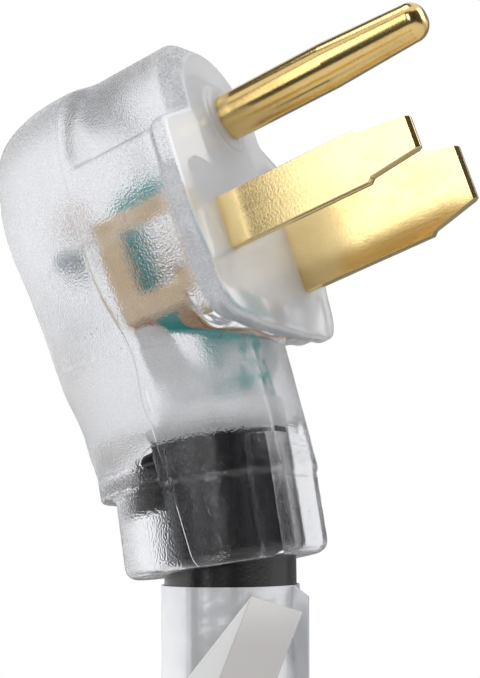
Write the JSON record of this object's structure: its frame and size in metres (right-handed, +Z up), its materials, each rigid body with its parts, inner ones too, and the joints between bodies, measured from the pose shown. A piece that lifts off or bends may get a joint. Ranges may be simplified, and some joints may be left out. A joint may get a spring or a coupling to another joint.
{
  "type": "lighted right-angle plug",
  "caption": "Right-angle moulded plug with a clear body that shows its wiring and lamp, flat brass blades, a round ground pin and a short heavy lead with a socket end.",
  "frame": {"origin": "on the plug's flat face, midway between the two blades and level with their middles", "axes": "+Z up towards the ground pin, -Y along the prongs into the socket, +X towards the wide blade"},
  "size_m": [0.039, 0.1092, 0.2992],
  "materials": {
    "clear_pvc": "frosted clear moulding, fine pebbled grain",
    "milky_bridge": "milky translucent moulding",
    "blade_brass": "brushed sheet brass",
    "pin_brass": "turned brass",
    "copper": "bare copper strands",
    "black_insulation": "satin insulation",
    "white_insulation": "satin insulation",
    "wrap_paper": "plain paper",
    "green_insulation": "satin insulation",
    "lamp_glass": "clear lamp, unlit",
    "resistor_coat": "dipped coat with painted bands",
    "tinned_lead": "tinned wire",
    "black_jacket": "satin black jacket",
    "label_film": "satin silver-white film",
    "strip_film": "translucent film, matt",
    "black_moulding": "grained black moulding",
    "black_face": "satin black moulding",
    "contact_brass": "formed sheet brass"
  },
  "bodies": {
    "root": {"plug_body": "clear_pvc", "narrow_blade": "blade_brass", "wide_blade": "blade_brass", "ground_pin": "pin_brass", "prong_bridge": "milky_bridge", "ground_strap": "blade_brass", "narrow_wire": "white_insulation", "wide_wire": "black_insulation", "ground_wire": "green_insulation", "narrow_conductor": "copper", "wide_conductor": "copper", "ground_conductor": "copper", "indicator_lamp": "lamp_glass", "dropper_resistor": "resistor_coat", "lamp_lead_narrow": "tinned_lead", "lamp_lead_middle": "tinned_lead", "lamp_lead_wide": "tinned_lead", "core_wrap": "wrap_paper", "jacket_end": "black_jacket", "cord": "black_jacket", "label_wrap": "label_film", "label_flag": "label_film", "label_strip": "strip_film", "connector_body": "black_moulding", "connector_face": "black_face", "narrow_contact": "contact_brass", "wide_contact": "contact_brass", "ground_contact": "contact_brass"}
  },
  "joints": []
}
